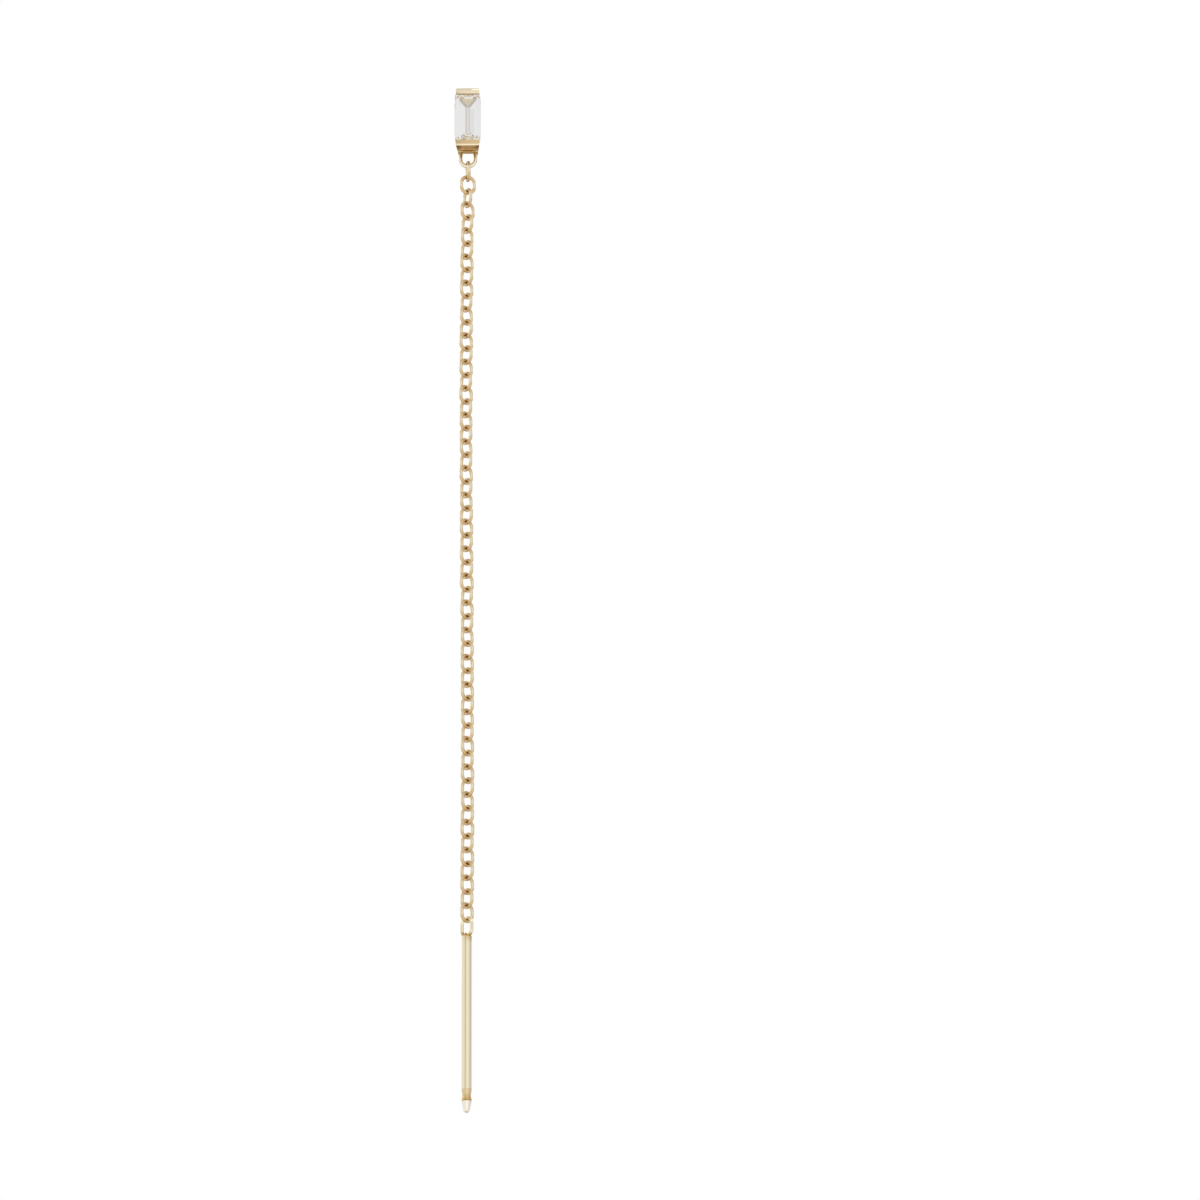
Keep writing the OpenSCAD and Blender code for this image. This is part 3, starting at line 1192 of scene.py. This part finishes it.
@dataclass(frozen=True)
class Studio:
    """A plain pale floor well below the earring, a white tent round it and soft lights."""

    middle_mm: tuple[float, float, float] = (0.0, -0.2, -37.0)
    floor_below_mm: float = 200.0
    floor_r_mm: float = 3000.0
    floor_inner: float = 0.02
    floor_rings: int = 12
    floor_sides: int = 64
    grain_mm: float = 4.0
    paper_roughness: float = 0.9
    tent_in_metal: float = 0.86
    tent_through_stone: float = 0.80
    stone_bounces: int = 24
    metal_patches: tuple[Patch, ...] = (
        Patch(-33, 15, 4, 16, (0.60, 0.58, 0.52)),
        Patch(-62, 15, 8, 22, (1.02, 0.98, 0.86)),
        Patch(88, 12, 10, 36, (0.70, 0.69, 0.69)),
        Patch(14, 15, 5, 14, (1.10, 1.10, 1.08)),
        Patch(180, -28, 14, 48, (0.56, 0.45, 0.34)),
        Patch(0, 90, 15, 55, (0.68, 0.64, 0.58)),
        Patch(0, -90, 10, 50, (0.75, 0.68, 0.58)),
        Patch(5, -25, 8, 34, (1.22, 1.20, 1.12)),
    )
    stone_patches: tuple[Patch, ...] = (
        Patch(180, 20, 4, 8, (0.86, 0.84, 0.77)),
        Patch(160, 20, 4, 9, (0.74, 0.71, 0.64)),
        Patch(-156, 20, 4, 9, (0.76, 0.73, 0.67)),
        Patch(166, 4, 4, 8, (0.52, 0.49, 0.42)),
        Patch(-163, 4, 4, 8, (0.52, 0.49, 0.42)),
        Patch(180, -9, 7, 13, (0.80, 0.68, 0.46)),
        Patch(88, 20, 5, 13, (0.90, 0.90, 0.91)),
        Patch(180, 5, 3, 7, (0.72, 0.69, 0.63)),
        Patch(180, 12, 2, 5, (0.48, 0.44, 0.39)),
        Patch(33, -50, 14, 30, (0.72, 0.68, 0.60)),
    )
    lights: tuple[SoftBox, ...] = (
        SoftBox("key_front", 25, 52, 700, 300, 200, 1.10),
        SoftBox("fill_left", -110, 28, 800, 260, 400, 0.76),
        SoftBox("rim_right", 150, 35, 800, 260, 500, 1.00),
    )

    def patched(self, tree: Tree, brightness: float, patches: tuple[Patch, ...]) -> Socket:
        """Start from an even grey tent and lay patches over it.

        Args:
            tree: The world's nodes.
            brightness: The even tent's brightness.
            patches: The patches, in order.

        Returns:
            The light by direction.
        """
        seen = add_node(tree, "TexCoord").outputs["Generated"]
        light = add_node(tree, "RGB").outputs["Color"]
        light.default_value = (brightness, brightness, brightness, 1.0)
        for patch in patches:
            light = patch.over(tree, seen, light)
        return light

    def world(self) -> None:
        """Make the tent: pure white behind the earring, and patched where metal and stone mirror it."""
        world = bpy.data.worlds.new("white_tent")
        world.use_nodes = True
        tree = world.node_tree
        tree.nodes.clear()
        path = add_node(tree, "LightPath")
        rays = {0: path.outputs["Is Camera Ray"], 1: path.outputs["Is Diffuse Ray"]}
        plain = add_node(tree, "Math", {"operation": "MAXIMUM"}, rays).outputs["Value"]
        metal = self.patched(tree, self.tent_in_metal, self.metal_patches)
        stone = self.patched(tree, self.tent_through_stone, self.stone_patches)
        sides = {0: path.outputs["Is Transmission Ray"], MIX_A: metal, MIX_B: stone}
        mirrored = add_node(tree, "Mix", {"data_type": "RGBA"}, sides).outputs[MIX_OUT]
        white = {"data_type": "RGBA", MIX_B: linear("#ffffff")}
        seen = add_node(tree, "Mix", white, {0: plain, MIX_A: mirrored})
        tent = add_node(tree, "Background", links={"Color": seen.outputs[MIX_OUT]})
        add_node(tree, "OutputWorld", links={"Surface": tent.outputs["Background"]})
        bpy.context.scene.world = world

    def paper(self) -> Material:
        """Make the floor's paper: uncoated and matt, with a faint grain of paler and darker fibres.

        Returns:
            The material.
        """
        material, tree, surface = new_material("white_paper")
        place = add_node(tree, "TexCoord").outputs["Object"]
        fibres = {"Scale": 1 / (self.grain_mm * MM), "Detail": 2.0}
        grain = add_node(tree, "TexNoise", fibres, {"Vector": place}).outputs["Fac"]
        tones = {"data_type": "RGBA", MIX_A: linear("#f4f3f1"), MIX_B: linear("#f8f8f7")}
        tone = add_node(tree, "Mix", tones, {0: grain}).outputs[MIX_OUT]
        sheet = add_node(tree, "BsdfPrincipled", {"Roughness": self.paper_roughness}, {"Base Color": tone})
        tree.links.new(sheet.outputs["BSDF"], surface)
        return material

    def floor(self) -> None:
        """Make a large round floor, in rings about the earring's foot at radii of r s^2, for even steps s."""
        radii = self.floor_r_mm * np.linspace(self.floor_inner, 1, self.floor_rings) ** 2
        a = np.arange(self.floor_sides) * 2 * np.pi / self.floor_sides
        low = np.full((self.floor_rings, self.floor_sides), -self.floor_below_mm)
        rows = np.stack([np.outer(radii, np.cos(a)), np.outer(radii, np.sin(a)), low], -1)
        points = np.concatenate([rows.reshape(-1, 3), [[0, 0, -self.floor_below_mm]]])
        rings = quads(self.floor_rings, self.floor_sides).tolist()
        mesh = bpy.data.meshes.new("floor")
        mesh.from_pydata((points * MM).tolist(), [], rings + fan(len(points) - 1, 0, len(a)).tolist())
        mesh.materials.append(self.paper())
        floor = stand("floor", mesh)
        floor.visible_glossy = False
        floor.visible_transmission = False

    def build(self) -> None:
        """Set up the tent, the floor and the lights."""
        self.world()
        self.floor()
        for light in self.lights:
            light.build(np.array(self.middle_mm))
        bpy.context.scene.view_settings.view_transform = "Standard"
        cycles = bpy.context.scene.cycles
        cycles.max_bounces = cycles.glossy_bounces = cycles.transmission_bounces = self.stone_bounces


@dataclass(frozen=True)
class PhotoCamera:
    """The camera, which looks up a little from below and stands between the two earrings of the pair."""

    place_mm: tuple[float, float, float] = (9.98, -375.94, -138.72)
    up_deg: float = 15.0
    roll_deg: float = -0.307
    lens_mm: float = 155.03
    sensor_mm: float = 36.0
    nearest_mm: float = 10.0
    farthest_mm: float = 20000.0

    def build(self) -> None:
        """Place the camera: its axes are right, up and back, turned by the roll about the view."""
        up_tilt, roll = math.radians(self.up_deg), math.radians(self.roll_deg)
        right = np.array([1.0, 0.0, 0.0])
        up = np.array([0.0, -math.sin(up_tilt), math.cos(up_tilt)])
        back = -np.array([0.0, math.cos(up_tilt), math.sin(up_tilt)])
        axes = np.eye(4)
        axes[:3, 0] = math.cos(roll) * right + math.sin(roll) * up
        axes[:3, 1] = math.cos(roll) * up - math.sin(roll) * right
        axes[:3, 2] = back
        axes[:3, 3] = np.array(self.place_mm) * MM
        data = bpy.data.cameras.new("photo_camera")
        data.lens, data.sensor_width = self.lens_mm, self.sensor_mm
        data.clip_start, data.clip_end = self.nearest_mm * MM, self.farthest_mm * MM
        camera = stand("photo_camera", data)
        camera.matrix_world = Matrix(axes.tolist())
        bpy.context.scene.camera = camera


def main() -> None:
    """Build the camera, the studio and the earring's pieces in order."""
    logging.basicConfig(level=logging.INFO, format="%(name)s: %(message)s")
    PhotoCamera().build()
    Studio().build()
    hanging = Hanging()
    for maker in (Setting(hanging), Baguette(), Chain(hanging), ThreaderPost(hanging)):
        piece = maker.build()
        log.info("%s: %d faces", piece.name, len(piece.data.polygons))


if __name__ == "__main__":
    main()
